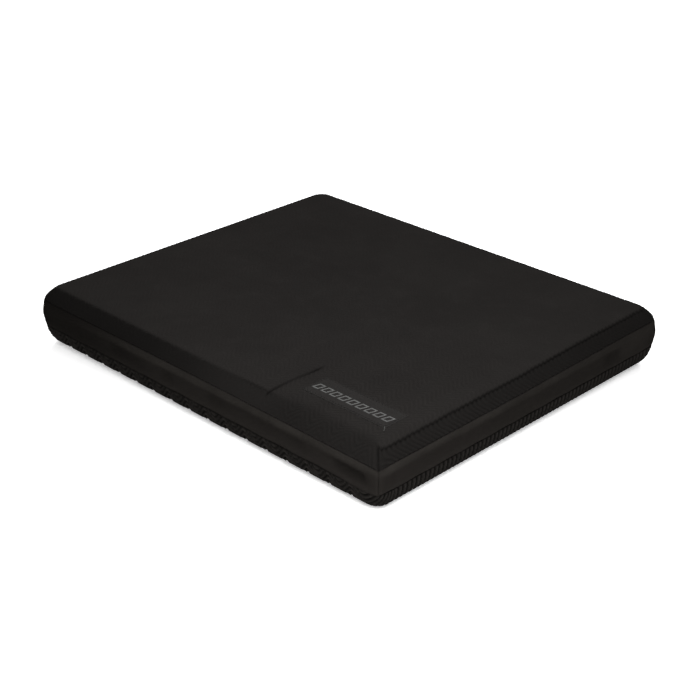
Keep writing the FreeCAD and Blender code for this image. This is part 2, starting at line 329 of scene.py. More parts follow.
# painted shade in the side band's pockets
POCKET_SHADE = (0.0030, 0.0027, 0.0024, 1)
CORE_DARK, CORE_LIGHT = (0.020, 0.020, 0.021, 1), (0.034, 0.034, 0.035, 1)
WEAVE_DARK, WEAVE_LIGHT = (0.0112, 0.0105, 0.0101, 1), (0.0200, 0.0188, 0.0180, 1)
INK_DARK, INK_LIGHT = (0.054, 0.054, 0.053, 1), (0.092, 0.092, 0.090, 1)
INK_WORN = (0.035, 0.034, 0.032, 1)
THREAD_DARK, THREAD_LIGHT = (0.0095, 0.0089, 0.0085, 1), (0.0165, 0.0155, 0.0148, 1)
FRAYED_DARK, FRAYED_LIGHT = (0.03, 0.03, 0.029, 1), (0.065, 0.065, 0.062, 1)
WEAVE_PITCH = 0.55 * MM
TWIST_PITCH = 0.35 * MM


def new_material(name):
    """A material with a Principled shader, and its tree."""
    material = bpy.data.materials.new(name)
    material.use_nodes = True
    tree = Tree(material.node_tree)
    return material, tree, material.node_tree.nodes["Principled BSDF"]


def place_on_piece(tree):
    """Object coordinates, in metres."""
    return tree.get("Object", "ShaderNodeTexCoord")


def feed(tree, shader, **inputs):
    """Link varying fields to the shader's sockets."""
    for word, field in inputs.items():
        tree.tree.links.new(field.socket, shader.inputs[word.replace("_", " ")])


def set_gloss(shader, level):
    """How strongly the surface mirrors light."""
    shader.inputs["Specular IOR Level"].default_value = level


def bump(tree, height, strength, distance, normal=None):
    """A surface normal roughened by a height, which is distance metres deep."""
    values = {"Height": height, "Strength": strength, "Distance": distance, "Normal": normal}
    return tree.get(0, "ShaderNodeBump", None, values)


def foam_pores(tree, place, scale):
    """Tiny closed cells that show through the foam's skin: 1 on a cell's wall, 0 in its middle."""
    values = {"Vector": place, "Scale": scale, "Randomness": 1.0}
    cells = tree.get("Distance", "ShaderNodeTexVoronoi", {"feature": "F1"}, values)
    return tree.ease(cells, 0.05, 0.55)


def make_ribbed_foam(name, dull, rubbed_and_lit):
    """Matte charcoal skin with fine pores; its dark mask paints shade, turning it towards near black in the
    grooves, creases and folds, on the sloping bevel and under the band.
    """
    material, tree, shader = new_material(name)
    place = place_on_piece(tree)
    dark = tree.get("Fac", "ShaderNodeAttribute", {"attribute_name": "dark"})
    blotches = tree.noise(place, scale=14.0, detail=3.0, roughness=0.6)
    grain = tree.noise(place, scale=900.0, detail=3.0, roughness=0.6)
    pores = foam_pores(tree, place, scale=1500.0)
    patches = tree.noise(place, scale=60.0, detail=4.0, roughness=0.65)
    worn = tree.ease(dark, 0.2, 0.0) * tree.ease(patches, 0.45, 0.75)
    tone = tree.ease(blotches, 0.3, 0.7) * 0.4 + worn * 0.3 + grain * 0.3
    base = tree.colour(tone, dull, rubbed_and_lit)
    # painted shade: where the dark mask is high the skin turns to near black
    base = tree.colour(tree.least(dark, 1.0), base, PAINTED_SHADE_BLACK)
    rough = 0.74 + grain * 0.12 - worn * 0.05
    fine = bump(tree, grain * 0.6 + pores * 0.4, strength=0.35, distance=0.12 * MM)
    feed(tree, shader, Base_Color=base, Roughness=rough, Normal=fine)
    set_gloss(shader, FOAM_GLOSS)
    return material


def make_smooth_foam():
    """Satin charcoal skin of the side band, with faint draw lines along it; a painted highlight on its lip,
    painted light on its foot, and painted shade on the rest, darker towards the left and in its pockets.
    """
    material, tree, shader = new_material("smooth_foam")
    place = place_on_piece(tree)
    x, y, z = tree.split(place)
    stretched = tree.join(x * 0.05, y * 0.05, z)
    lines = tree.noise(stretched, scale=1600.0, detail=3.0, roughness=0.6)
    grain = tree.noise(place, scale=1400.0, detail=2.0, roughness=0.5)
    blotches = tree.noise(place, scale=22.0, detail=4.0, roughness=0.6)
    lit_tone = tree.colour(tree.ease(blotches, 0.3, 0.72), BAND_LIT, BAND_LIT_LIGHTER)

    # painted light: the lip carries a painted highlight and the foot is painted lighter, less so to the
    # left, at the back and near the corner
    lip = tree.ease(x, -0.19, 0.0) * (1.0 - tree.ease(y, -0.08, 0.06) * 0.4)
    lip = lip * (1.0 - tree.ease(x, 0.13, 0.17) * tree.ease(y, -0.190, -0.196) * 0.35)
    foot = 0.35 - tree.ease(x, 0.0, -0.16) * 0.25
    ragged = tree.noise(place, scale=30.0, detail=3.0, roughness=0.6) - 0.5
    edge = z + ragged * 7 * MM
    rubbed_and_lit = tree.ease(edge, 40.5 * MM, 46 * MM) * lip + tree.ease(z, 33 * MM, 25 * MM) * foot
    # the back of the band is lighter too
    rubbed_and_lit = tree.most(rubbed_and_lit, tree.ease(y, 0.10, 0.15) * 0.5)
    # painted shade: the rest of the band darkens towards the left end
    dull = tree.colour(tree.ease(x, 0.0, -0.19), BAND_SHADED, BAND_SHADED_MOST)
    # the lit tone where the painted light is, painted shade elsewhere
    base = tree.colour(rubbed_and_lit, dull, lit_tone)
    # painted shade: the deeper pockets of the hollow are darkened
    pressed = tree.get("Fac", "ShaderNodeAttribute", {"attribute_name": "pressed"})
    base = tree.colour(tree.ease(pressed, 1.8, 4.0) * 0.38, base, POCKET_SHADE)
    rough = 0.46 + tree.ease(blotches, 0.35, 0.7) * 0.12 + grain * 0.06
    waves = bump(tree, blotches, strength=0.25, distance=1.2 * MM)
    fine = bump(tree, lines * 0.5 + grain * 0.5, strength=0.25, distance=0.08 * MM, normal=waves)
    feed(tree, shader, Base_Color=base, Roughness=rough, Normal=fine)
    set_gloss(shader, FOAM_GLOSS)
    return material


def make_core_foam():
    """Cut closed-cell foam of the plies inside."""
    material, tree, shader = new_material("core_foam")
    place = place_on_piece(tree)
    pores = foam_pores(tree, place, scale=900.0)
    tone = tree.noise(place, scale=30.0, detail=3.0, roughness=0.6)
    base = tree.colour(tone, CORE_DARK, CORE_LIGHT)
    feed(tree, shader, Base_Color=base, Roughness=0.75 + pores * 0.15)
    feed(tree, shader, Normal=bump(tree, pores, strength=0.5, distance=0.3 * MM))
    return material


def weave_threads(tree, along, across, pitch):
    """Plain weave: the height of whichever thread lies on top."""
    turn = FULL_TURN / pitch
    warp = tree.sin(along * turn)
    weft = tree.sin(across * turn)
    over = tree.sin(along * (turn / 2)) * tree.sin(across * (turn / 2))
    warp_on_top, weft_on_top = tree.ease(over, -0.2, 0.2), tree.ease(over, 0.2, -0.2)
    return (warp * 0.5 + 0.5) * warp_on_top + (weft * 0.5 + 0.5) * weft_on_top


def make_label_weave():
    """Dense dark grey woven label, a little lighter than the foam."""
    material, tree, shader = new_material("label_weave")
    place = place_on_piece(tree)
    x, y, _ = tree.split(place)
    threads = weave_threads(tree, x, y, WEAVE_PITCH)
    fuzz = tree.noise(place, scale=1800.0, detail=3.0, roughness=0.6)
    shade = tree.noise(place, scale=45.0, detail=3.0, roughness=0.6)
    tone = threads * 0.5 + fuzz * 0.2 + shade * 0.3
    base = tree.colour(tone, WEAVE_DARK, WEAVE_LIGHT)
    feed(tree, shader, Base_Color=base, Roughness=0.72 + fuzz * 0.15)
    feed(tree, shader, Normal=bump(tree, threads * 0.8 + fuzz * 0.2, strength=0.4, distance=0.15 * MM))
    set_gloss(shader, FOAM_GLOSS)
    return material


def make_label_ink():
    """Light grey print that sits in the weave and has worn a little."""
    material, tree, shader = new_material("label_ink")
    place = place_on_piece(tree)
    x, y, _ = tree.split(place)
    threads = weave_threads(tree, x, y, WEAVE_PITCH)
    wear = tree.ease(tree.noise(place, scale=700.0, detail=4.0, roughness=0.7), 0.52, 0.72)
    base = tree.colour(threads * 0.5 + 0.2, INK_DARK, INK_LIGHT)
    base = tree.colour(wear * 0.6, base, INK_WORN)
    feed(tree, shader, Base_Color=base, Roughness=0.55 + wear * 0.2)
    feed(tree, shader, Normal=bump(tree, threads, strength=0.3, distance=0.1 * MM))
    set_gloss(shader, INK_GLOSS)
    return material


def make_thread(name, dark, light):
    """Twisted sewing thread."""
    material, tree, shader = new_material(name)
    place = place_on_piece(tree)
    x, y, z = tree.split(place)
    twist = tree.sin((x + y * 0.8 + z) * (FULL_TURN / TWIST_PITCH))
    fuzz = tree.noise(place, scale=3000.0, detail=2.0, roughness=0.5)
    base = tree.colour(twist * 0.35 + fuzz * 0.3 + 0.35, dark, light)
    feed(tree, shader, Base_Color=base, Roughness=0.6 + fuzz * 0.15)
    feed(tree, shader, Normal=bump(tree, twist, strength=0.5, distance=0.1 * MM))
    set_gloss(shader, FOAM_GLOSS)
    return material


# ---------------------------------------------------------------- the ribbed skins
TIP_SHARPNESS = 0.93                       # 1 makes a straight zigzag; less rounds its tips
GROOVE_SHARPNESS = 1.5                     # above 1 the ribs are wider than the grooves
STRAIGHT_ENDS = (22 * MM, 12 * MM)         # mesh rows straighten this near the long and short edges
END_WAVE = 0.15                            # how much of the zigzag is left past the two short ends
RIM_GAP = 0.3 * MM                         # the top skin's rim stands this far over the band's lip
CREASE_INSET = 13 * MM                     # the bevel's crease at the back and left
CREASE_FRONT_MORE = 4 * MM                 # the crease runs this much further in at the front
CREASE_RIGHT = 11.5 * MM                   # and this far in at the right, near the corner
CREASE_BACK_MORE = 2.5 * MM                # with this much more towards the back
SLOPE_INSET, SLOPE_POWER = 16 * MM, 1.9    # the soft slope beside the label
SOFT_FROM, SOFT_TO = 85 * MM, 135 * MM     # where the front crease gives way to that slope
FOLD_X = 89.5 * MM                         # the short fold, left of the label
CORNER_SAG, SAG_WIDTH = 1.2 * MM, 85 * MM


def rib_field(tree, x, y, size):
    """How deep in a groove a point of the sheet lies, and how far the zigzag moves the ribs there.

    The depth is 0 on a rib and 1 in a groove.
    """
    angle = tree.math("ARCSINE", tree.sin(x * FULL_TURN / size["Wave length"]) * TIP_SHARPNESS)
    wave = angle * size["Wave height"] / math.asin(TIP_SHARPNESS)
    phase = (y - wave) * FULL_TURN / size["Rib pitch"]
    groove = (0.5 - tree.cos(phase) * 0.5) ** size["Groove sharpness"]
    return groove, wave


def sheet_grid(tree, size):
    """A square grid one unit apart, and each point's place counted in lines from the middle."""
    grid = tree.add("GeometryNodeMeshGrid", None, {
        "Size X": size["Columns"], "Size Y": size["Rows"],
        "Vertices X": size["Columns"] + 1.0, "Vertices Y": size["Rows"] + 1.0,
    })
    place = tree.get(0, "GeometryNodeInputPosition")
    u, v, _ = tree.split(place)
    return Field(tree, grid.outputs["Mesh"]), u, v


def spaced(tree, steps, count, flat_half, edge, edge_steps):
    """The distance along one side of the sheet of a mesh line counted from the middle."""
    inner = count / 2.0 - edge_steps
    whole = abs(steps)
    inside = tree.least(whole, inner) * flat_half / inner
    outside = tree.most(whole - inner, 0.0) * edge / edge_steps
    return (inside + outside) * tree.sign(steps)


SKIN_SIZES = [
    "Columns", "Rows", "Edge columns", "Edge rows", "Half length", "Half width", "Corner", "Edge inset",
    "Edge run", "Rib pitch", "Rib depth", "Wave length", "Wave height", "Groove sharpness",
]


def start_skin(tree, size):
    """The sheet's points: where each lies on the flat sheet, and where it goes on the pad.

    Returns the mesh, the point on the sheet (x, y), the outward direction there (nx, ny), how far
    it lies past the flat part, and the nearest point of the flat part.
    """
    mesh, u, v = sheet_grid(tree, size)
    flat_x = size["Half length"] - size["Edge inset"]
    flat_y = size["Half width"] - size["Edge inset"]
    flat_round = size["Corner"] - size["Edge inset"]
    x = spaced(tree, u, size["Columns"], flat_x, size["Edge run"], size["Edge columns"])
    y = spaced(tree, v, size["Rows"], flat_y, size["Edge run"], size["Edge rows"])

    # rows follow the ribs' zigzag, and straighten out near the sheet's edges
    _, wave = rib_field(tree, x, y, size)
    end_x = flat_x + size["Edge run"]
    end_y = flat_y + size["Edge run"]
    inland_y = tree.ease(end_y - abs(y), 0.0, STRAIGHT_ENDS[0])
    inland = inland_y * tree.ease(end_x - abs(x), 0.0, STRAIGHT_ENDS[1])
    y = y + wave * inland

    # the square corners of the sheet become quarter discs
    block = flat_round + size["Edge run"]
    centre_x, centre_y = flat_x - flat_round, flat_y - flat_round
    p, q = abs(x) - centre_x, abs(y) - centre_y
    p_out, q_out = tree.most(p, 0.0), tree.most(q, 0.0)
    p_round = p_out * tree.math("SQRT", 1.0 - (q_out / block) ** 2.0 * 0.5)
    q_round = q_out * tree.math("SQRT", 1.0 - (p_out / block) ** 2.0 * 0.5)
    side_x, side_y = tree.sign(x), tree.sign(y)
    x = (centre_x + tree.least(p, 0.0) + p_round) * side_x
    y = (centre_y + tree.least(q, 0.0) + q_round) * side_y

    reach = tree.math("SQRT", p_round ** 2.0 + q_round ** 2.0)
    over = tree.most(reach - flat_round, 0.0)
    safe = tree.most(reach, TINY)
    nx, ny = p_round / safe * side_x, q_round / safe * side_y
    kept = tree.least(reach, flat_round)
    base_x = (centre_x + tree.least(p, 0.0)) * side_x + nx * kept
    base_y = (centre_y + tree.least(q, 0.0)) * side_y + ny * kept
    return mesh, x, y, nx, ny, over, base_x, base_y


def finish_skin(tree, mesh, places, normals, groove, dark, size, material):
    """Keep how dark each point is, for the painted shade, then move it into place and press in the grooves.
    """
    x, y, z = places
    nx, ny, nz = normals
    depth = groove * size["Rib depth"]
    position = tree.join(x - nx * depth, y - ny * depth, z - nz * depth)
    kept = tree.get(0, "GeometryNodeStoreNamedAttribute", {"data_type": "FLOAT", "domain": "POINT"}, {
        "Geometry": mesh, "Name": "dark", "Value": dark,
    })
    moved = tree.get(0, "GeometryNodeSetPosition", None, {"Geometry": kept, "Position": position})
    end_geometry_tree(tree, moved, material)


def bottom_skin_tree(material):
    """Flat ribbed underside that turns up the sides in a large elliptical rounding."""
    group, tree, size = new_geometry_tree("bottom_skin_shape", SKIN_SIZES + ["Edge rise", "Rim height"])
    mesh, x, y, nx, ny, over, base_x, base_y = start_skin(tree, size)
    last = tree.math("ARCCOSINE", 1.0 - size["Rim height"] / size["Edge rise"])
    angle = over / size["Edge run"] * last
    out = size["Edge inset"] * tree.sin(angle)
    rise = size["Edge rise"] * (1.0 - tree.cos(angle))
    # past the two ends the zigzag dies away and the ribs run straight up
    flat_x = size["Half length"] - size["Edge inset"]
    ribs_x = tree.least(tree.most(x, -flat_x), flat_x)
    groove, _ = rib_field(tree, ribs_x + (x - ribs_x) * END_WAVE, y, size)
    tilt = tree.sin(angle)
    upright = -tree.cos(angle)
    point_share = tree.ease(rise, 8 * MM, 24 * MM) * 0.6
    px, py = pointed(tree, base_x + nx * out, base_y + ny * out, point_share)
    rim = size["Rim height"]
    # painted shade: the rib grooves go nearly black, and so does a strip just under the band
    groove_shade = tree.ease(groove, 0.3, 0.9) * 0.88
    shade_under_band = tree.ease(rise, rim - 1.8 * MM, rim - 0.5 * MM) * 0.9
    dark = tree.most(groove_shade, shade_under_band)
    finish_skin(tree, mesh, (px, py, rise), (nx * tilt, ny * tilt, upright), groove, dark, size, material)
    return group


def rim_height(tree, x, y):
    """Where the top skin ends and the side band's lip starts: lower towards the near corner."""
    near = tree.ease(x, 0.0, HALF_X) * tree.ease(y, RIM_FALL_FROM, RIM_FALL_TO)
    return RIM_HEIGHT - near * RIM_FALL


def depth_inside(tree, x, y):
    """How far a point lies inside the pad's rounded outline."""
    p, q = abs(x) - (HALF_X - CORNER), abs(y) - (HALF_Y - CORNER)
    outside = tree.math("SQRT", tree.most(p, 0.0) ** 2.0 + tree.most(q, 0.0) ** 2.0)
    return CORNER - outside - tree.least(tree.most(p, q), 0.0)


def pointed(tree, x, y, share):
    """Draw the near corner out from a quarter circle towards a point."""
    p = tree.most(x - (HALF_X - CORNER), 0.0)
    q = tree.most(-y - (HALF_Y - CORNER), 0.0)
    reach = tree.most(tree.math("SQRT", p ** 2.0 + q ** 2.0), TINY)
    square = (p / reach) ** POINT_POWER + (q / reach) ** POINT_POWER
    grow = (tree.most(square, TINY) ** (-1 / POINT_POWER) - 1.0) * share
    grow = grow * tree.ease(tree.least(p, q), 0.0, 0.1 * MM)
    return x + p * grow, y - q * grow


def crease_depth(tree, x, y):
    """How far in the bevel's crease runs, and how much a point belongs to the front and the right."""
    p, q = abs(x) - (HALF_X - CORNER), abs(y) - (HALF_Y - CORNER)
    end = tree.ease(p - q, -5 * MM, 5 * MM)
    right = end * tree.ease(x, -10 * MM, 10 * MM)
    front = (1.0 - end) * tree.ease(y, 10 * MM, -10 * MM)
    right_depth = CREASE_RIGHT + tree.ease(y, -20 * MM, 100 * MM) * CREASE_BACK_MORE
    right_depth = right_depth * tree.ease(y, -199 * MM, -190 * MM, low=0.2, high=1.0)
    depth = CREASE_INSET + right * (right_depth - CREASE_INSET) + front * CREASE_FRONT_MORE
    return depth, front, right


def label_seat(tree, x, y):
    """The seat pressed flat under the label, and the wider level patch round it."""
    middle = (LABEL_LOW + LABEL_HIGH) / 2
    half = (LABEL_HIGH - LABEL_LOW) / 2
    off = tree.most(abs(x - middle.x) - half.x, abs(y - middle.y) - half.y)
    return tree.ease(off, 0.4 * MM, -0.8 * MM), tree.ease(off, 14 * MM, 0.0)


def top_folds(tree, x, y, px, py):
    """The fold down the near corner and the short one left of the label: 1 in a fold, 0 beside it."""
    p, q = px - (HALF_X - CORNER), -py - (HALF_Y - CORNER)
    corner_fold = tree.bell(p - q, 1.5 * MM) * tree.ease(tree.least(p, q), 3 * MM, 8 * MM)
    wander = tree.sin(y * 90.0) * 0.8 * MM
    fold = tree.bell(x - (FOLD_X + wander), 1.7 * MM)
    fold = fold * tree.ease(y, -112 * MM, -126 * MM) * tree.ease(py, -190 * MM, -184 * MM)
    return corner_fold, fold


def top_skin_tree(material):
    """Flat ribbed top; a creased bevel runs round it and dies away beside the label."""
    group, tree, size = new_geometry_tree("top_skin_shape", SKIN_SIZES + ["Crest height"])
    mesh, x, y, nx, ny, over, base_x, base_y = start_skin(tree, size)
    groove, _ = rib_field(tree, x, y, size)
    share = over / size["Edge run"]
    out = (size["Edge inset"] - RIM_INSET) * (share * 1.3 - share ** 2.0 * 0.3)
    px, py = base_x + nx * out, base_y + ny * out
    flat_place = tree.join(px, py, 0.0)

    # the crease, jagged by the ribs and wandering on the right, and the slope outside it
    inside = depth_inside(tree, px, py)
    crease, front, right = crease_depth(tree, px, py)
    wander = tree.noise(flat_place, scale=110.0) - 0.5
    crease = crease + (0.5 - groove) * 1.2 * MM + wander * right * 2.5 * MM
    soft = front * tree.ease(px, SOFT_FROM, SOFT_TO)
    beyond = tree.least(tree.most((crease - inside) / (crease - RIM_INSET), 0.0), 1.0)
    drop = size["Crest height"] - rim_height(tree, px, py) - RIM_GAP
    creased = drop * (beyond * 0.8 + beyond ** 3.0 * 0.2)
    slope = tree.least(tree.most((SLOPE_INSET - inside) / (SLOPE_INSET - RIM_INSET), 0.0), 1.0)
    fall = tree.mix(soft, creased, drop * slope ** SLOPE_POWER)

    line = tree.bell(inside - crease, 1.2 * MM)
    pinch = line * (right * 0.9 * MM + front * (1.0 - soft) * 0.2 * MM)
    corner_fold, fold = top_folds(tree, x, y, px, py)

    # the top sags a little towards the near corner and is never quite even
    away = tree.math("SQRT", (px - NEAR_CORNER.x) ** 2.0 + (py - NEAR_CORNER.y) ** 2.0)
    sag = tree.bell(away, SAG_WIDTH) * CORNER_SAG
    uneven = (tree.noise(flat_place, scale=9.0, detail=1.0) - 0.5) * 0.8 * MM

    seat, level = label_seat(tree, x, y)
    z = size["Crest height"] - fall - (sag + tree.most(uneven, 0.0)) * (1.0 - level) * (1.0 - beyond)
    z = z - pinch - corner_fold * 1.0 * MM - fold * 0.7 * MM - seat * 0.7 * MM
    close = tree.ease(away, 0.30, 0.10)
    relief = groove * (1.0 - seat) * (0.8 + close * 0.8 + beyond * right * 0.8)
    relief = relief * (1.0 - front * (1.0 - soft) * tree.ease(beyond, 0.0, 0.2) * 0.55)

    # painted shade: the sloping sides are darker than the top, most at the front left, and the crease line,
    # the rib grooves, the soft slope beside the label and the folds are dark
    back = tree.ease(py, -0.05, 0.10)
    front_slope_shade = 0.58 - tree.ease(px, -0.08, 0.10) * 0.34
    right_slope_shade = 0.36 + back * 0.1
    other_slope_shade = 0.5
    sloped = front * front_slope_shade + right * right_slope_shade + (1.0 - front - right) * other_slope_shade
    dark = tree.ease(beyond, 0.0, 0.1) * sloped * (1.0 - soft)
    dark = dark + tree.ease(inside, 32 * MM, 14 * MM) * soft * 0.32
    dark = dark + relief * (0.04 + close * 0.045)
    right_line = right * (0.65 + back * 0.15)
    front_line = front * (1.0 - soft) * (0.15 + tree.bell(px - 0.075, 0.025) * 0.4)
    dark = dark + line * (right_line + front_line)
    dark = tree.most(dark, tree.most(corner_fold * 0.8, fold * (0.45 + abs(y + 0.152) * 12.0)))

    tilt = tree.ease(beyond, -0.05, 0.15) * 0.5 + beyond ** 3.0 * 0.2
    upright = tree.math("SQRT", 1.0 - tilt ** 2.0)
    px, py = pointed(tree, px, py, tree.ease(inside, 13 * MM, 4 * MM))
    finish_skin(tree, mesh, (px, py, z), (nx * tilt, ny * tilt, upright), relief, dark, size, material)
    return group


def rounded_point(along):
    """A point of the pad's outline, and the outward direction there.

    along is the distance round the full outline from the near corner's middle, counted to +X, +Y.
    """
    straight_x, straight_y = 2 * (HALF_X - CORNER), 2 * (HALF_Y - CORNER)
    turn = CORNER * math.pi / 2
    cx, cy = HALF_X - CORNER, HALF_Y - CORNER
    runs = [
        (turn / 2, "arc", (cx, -cy), -math.pi / 4),
        (straight_y, "line", (HALF_X, -cy), (0, 1)),
        (turn, "arc", (cx, cy), 0.0),
        (straight_x, "line", (cx, HALF_Y), (-1, 0)),
        (turn, "arc", (-cx, cy), math.pi / 2),
        (straight_y, "line", (-HALF_X, cy), (0, -1)),
        (turn, "arc", (-cx, -cy), math.pi),
        (straight_x, "line", (-cx, -HALF_Y), (1, 0)),
        (turn / 2, "arc", (cx, -cy), -math.pi / 2),
    ]
    for length, kind, start, heading in runs:
        if along <= length + TINY * MM:
            break
        along -= length
    if kind == "arc":
        angle = heading + along / CORNER
        normal = Vector((math.cos(angle), math.sin(angle), 0))
        point = Vector((start[0], start[1], 0)) + normal * CORNER
    else:
        normal = Vector((heading[1], -heading[0], 0))
        point = Vector((start[0], start[1], 0)) + Vector((heading[0], heading[1], 0)) * along
    return point, normal


OUTLINE = 4 * (HALF_X + HALF_Y - 2 * CORNER) + FULL_TURN * CORNER


def close_skin(mesh, rings, end_height):
    """Close a sheet into a shell: rings of (inset, height) step in from its rim, then a flat face.

    Insets count from the pad's outline.  A height of None keeps the rim's own height.
    """
    work = bmesh.new()
    work.from_mesh(mesh)
    rim = [edge for edge in work.edges if edge.is_boundary]
    for inset, height in rings:
        made = bmesh.ops.extrude_edge_only(work, edges=rim)["geom"]
        rim = [item for item in made if isinstance(item, bmesh.types.BMEdge)]
        for vert in {v for edge in rim for v in edge.verts}:
            place, normal = nearest_outline(vert.co)
            flat = place - normal * inset
            vert.co = Vector((flat.x, flat.y, height if height is not None else vert.co.z))
    bmesh.ops.holes_fill(work, edges=rim)
    for face in work.faces:
        if len(face.verts) > 4:
            for vert in face.verts:
                vert.co.z = end_height
    bmesh.ops.recalc_face_normals(work, faces=work.faces)
    bmesh.ops.triangulate(work, faces=[face for face in work.faces if len(face.verts) > 4])
    work.to_mesh(mesh)
    work.free()


def nearest_outline(point):
    """The nearest point of the pad's full outline, and the outward direction there."""
    cx, cy = HALF_X - CORNER, HALF_Y - CORNER
    side_x = 1 if point.x > 0 else -1
    side_y = 1 if point.y > 0 else -1
    p, q = abs(point.x) - cx, abs(point.y) - cy
    if p > 0 and q > 0:
        normal = Vector((p * side_x, q * side_y, 0)).normalized()
        centre = Vector((cx * side_x, cy * side_y, 0))
        return centre + normal * CORNER, normal
    if p > q:
        return Vector((HALF_X * side_x, point.y, 0)), Vector((side_x, 0, 0))
    return Vector((point.x, HALF_Y * side_y, 0)), Vector((0, side_y, 0))


def make_skin(name, node, group, sizes, rings, end_height):
    """One ribbed skin as a closed shell."""
    mesh = grown(name, group, sizes)
    close_skin(mesh, rings, end_height)
    piece = new_piece(name, mesh)
    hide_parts(node)
    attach(piece, "root")


def skin_sizes(edge_inset, edge_run, edge_step, column_step):
    """The named sizes of one ribbed sheet; its mesh is a few rows to a rib."""
    row_step = RIB_PITCH / RIB_ROWS
    edge_rows = round(edge_run / row_step)
    edge_columns = round(edge_run / edge_step)
    return {
        "Columns": 2 * (round((HALF_X - edge_inset) / column_step) + edge_columns),
        "Rows": 2 * (round((HALF_Y - edge_inset) / row_step) + edge_rows),
        "Edge columns": edge_columns,
        "Edge rows": edge_rows,
        "Half length": HALF_X,
        "Half width": HALF_Y,
        "Corner": CORNER,
        "Edge inset": edge_inset,
        "Edge run": edge_run,
        "Rib pitch": RIB_PITCH,
        "Rib depth": RIB_DEPTH,
        "Wave length": WAVE_LENGTH,
        "Wave height": WAVE_HEIGHT,
        "Groove sharpness": GROOVE_SHARPNESS,
    }


def make_bottom_skin():
    """The ribbed underside, which turns up the sides to the band's foot."""
    foam = make_ribbed_foam("ribbed_foam_below", UNDER_DULL, UNDER_RUBBED)
    under = 1.2 * MM                       # it stands a little inside the band
    rim = SEAM_LOW - 1.2 * MM
    inset = 21.5 * MM
    sizes = skin_sizes(edge_inset=inset, edge_run=36 * MM, edge_step=1.9 * MM, column_step=2.1 * MM)
    sizes.update({
        "Half length": HALF_X - under, "Half width": HALF_Y - under, "Corner": CORNER - under - 2 * MM,
        "Edge inset": inset - under, "Edge rise": 27 * MM, "Rim height": rim,
        "Rib depth": 2.0 * MM, "Groove sharpness": 0.9,
    })
    inner = [
        (2.4 * MM, rim + 0.3 * MM), (SKIN, rim), (SKIN, 22 * MM), (9.3 * MM, 9.3 * MM), (22 * MM, SKIN),
    ]
    make_skin("bottom_skin_ribbed", "bottom_skin", bottom_skin_tree(foam), sizes, inner, SKIN)


def make_top_skin():
    """The ribbed top with its creased bevel."""
    foam = make_ribbed_foam("ribbed_foam_top", TOP_DULL, TOP_RUBBED)
    sizes = skin_sizes(edge_inset=13.3 * MM, edge_run=14.5 * MM, edge_step=1.0 * MM, column_step=2.0 * MM)
    sizes.update({"Crest height": TOP})
    inner = [
        (2.8 * MM, None), (SKIN, None), (4.3 * MM, 50 * MM), (7 * MM, 53.5 * MM), (14 * MM, 56 * MM),
    ]
    make_skin("top_skin_ribbed", "top_skin", top_skin_tree(foam), sizes, inner, TOP - SKIN)


# ---------------------------------------------------------------- the side band
BAND_STEPS = 900                           # sections round the pad
WALL_STEPS = 14                            # points up the hollowed wall
BAND_WALL = 9.8 * MM
BULGE = 2.2 * MM                           # how far the band swells out at the three round corners
SEAM_GAP, SEAM_PINCH, SEAM_WIDTH = 0.06 * MM, 0.3 * MM, 1.0 * MM
# the wall's rounded foot and lip, in millimetres: inset, and height above the foot or below the rim
FOOT_PROFILE = [(7.0, 0.3), (3.0, 0.05), (1.6, 0.25), (0.8, 1.0), (0.45, 2.2)]
LIP_PROFILE = [(0.1, 4.6), (0.4, 3.2), (0.9, 1.9), (1.6, 0.8), (2.4, 0.15), (3.4, -0.05), (9.8, 0.3)]
# pockets along a side, in millimetres: where each starts and ends, its blur and its extra depth
FRONT_POCKETS = [(-118, -68, 10, 1.5), (-43, -24, 6, 1.2), (23, 148, 12, 1.2), (150, 180, 10, -1.4)]
RIGHT_POCKETS = [(108, 136, 8, 1.6)]
FACING = 0.7                               # how squarely a point faces a side to count as on it


def smooth_step(value, start, end):
    """0 before the start, 1 past the end, and an even ease between them."""
    share = min(max((value - start) / (end - start), 0.0), 1.0)
    return share * share * (3 - 2 * share)


def between(value, start, end, blur):
    """1 inside a stretch, easing to 0 outside it."""
    return smooth_step(value, start - blur, start + blur) * (1 - smooth_step(value, end - blur, end + blur))


def pocket_depth(along, pockets):
    """How much deeper, in millimetres, the pockets of a side make the hollow at a place along it."""
    depths = (deep * between(along, start * MM, end * MM, blur * MM) for start, end, blur, deep in pockets)
    return sum(depths)


def band_hollow(point, normal):
    """How far the band's hollow is pressed in at a point of the outline: pockets along each side."""
    x, y = point.x, point.y
    ripple = 0.30 * math.sin(x * 41 + y * 57) + 0.20 * math.sin(x * 97 - y * 83 + 1.0)
    deep = 1.5 + ripple
    if normal.y < -FACING:
        deep += pocket_depth(x, FRONT_POCKETS)
        deep += 2.6 * smooth_step(x, 0.150, 0.205) * (1 - smooth_step(x, 0.218, 0.227))
    if normal.x > FACING:
        deep += pocket_depth(y, RIGHT_POCKETS)
        deep -= 0.9 * smooth_step(y, -0.06, -0.17)
    straight = smooth_step(max(abs(normal.x), abs(normal.y)), 0.80, 1.0)
    deep *= straight * smooth_step((point - NEAR_CORNER).length, 0.010, 0.022)
    return max(deep, 0.0) * MM


def band_rim(point):
    """Height of the band's upper edge at a point of the outline."""
    near = smooth_step(point.x, 0.0, HALF_X) * smooth_step(point.y, RIM_FALL_FROM, RIM_FALL_TO)
    return RIM_HEIGHT - RIM_FALL * near


